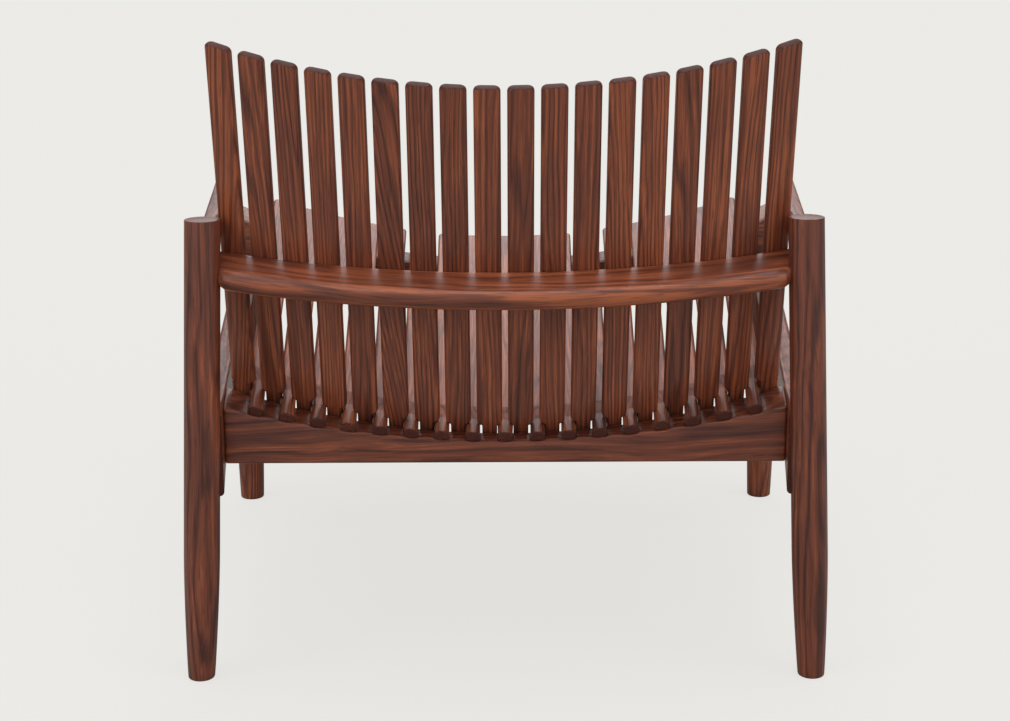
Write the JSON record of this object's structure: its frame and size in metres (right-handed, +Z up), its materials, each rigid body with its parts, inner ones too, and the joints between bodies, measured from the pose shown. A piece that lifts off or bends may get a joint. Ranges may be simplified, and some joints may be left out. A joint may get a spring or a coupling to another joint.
{
  "type": "lounge chair",
  "caption": "Low wooden lounge chair with turned legs, level arms, a slatted seat whose slats end in fingers, and a hollow slatted back.",
  "frame": {"origin": "on the floor, under the middle of the chair's box", "axes": "+Z up; +X to the sitter's left; the front of the seat faces -Y and the back is towards +Y"},
  "size_m": [0.7984, 0.8242, 0.7217],
  "materials": {
    "frame_wood": "satin oil on dark walnut",
    "back_slat_wood": "satin oil on dark walnut",
    "seat_slat_wood": "satin oil on dark walnut",
    "dowel_wood": "bare beech"
  },
  "bodies": {
    "root": {"rear_leg_left": "frame_wood", "rear_leg_right": "frame_wood", "front_leg_left": "frame_wood", "front_leg_right": "frame_wood", "arm_left": "frame_wood", "arm_right": "frame_wood", "arm_post_left": "frame_wood", "arm_post_right": "frame_wood", "side_rail_left": "frame_wood", "side_rail_right": "frame_wood", "rear_rail": "frame_wood", "front_rail": "frame_wood", "back_rail": "frame_wood", "back_rail_dowels": "dowel_wood", "neck_dowels": "dowel_wood", "finger_dowels": "dowel_wood", "front_rail_dowels": "dowel_wood", "back_slat_01": "back_slat_wood", "back_slat_02": "back_slat_wood", "back_slat_03": "back_slat_wood", "back_slat_04": "back_slat_wood", "back_slat_05": "back_slat_wood", "back_slat_06": "back_slat_wood", "back_slat_07": "back_slat_wood", "back_slat_08": "back_slat_wood", "back_slat_09": "back_slat_wood", "back_slat_10": "back_slat_wood", "back_slat_11": "back_slat_wood", "back_slat_12": "back_slat_wood", "back_slat_13": "back_slat_wood", "back_slat_14": "back_slat_wood", "back_slat_15": "back_slat_wood", "back_slat_16": "back_slat_wood", "back_slat_17": "back_slat_wood", "back_slat_18": "back_slat_wood", "seat_slat_01": "seat_slat_wood", "seat_slat_02": "seat_slat_wood", "seat_slat_03": "seat_slat_wood", "seat_slat_04": "seat_slat_wood", "seat_slat_05": "seat_slat_wood", "seat_slat_06": "seat_slat_wood", "seat_slat_07": "seat_slat_wood", "seat_slat_08": "seat_slat_wood", "seat_slat_09": "seat_slat_wood", "seat_slat_10": "seat_slat_wood", "seat_slat_11": "seat_slat_wood", "seat_slat_12": "seat_slat_wood", "seat_slat_13": "seat_slat_wood", "seat_slat_14": "seat_slat_wood", "seat_slat_15": "seat_slat_wood", "seat_slat_16": "seat_slat_wood", "seat_slat_17": "seat_slat_wood"}
  },
  "joints": []
}
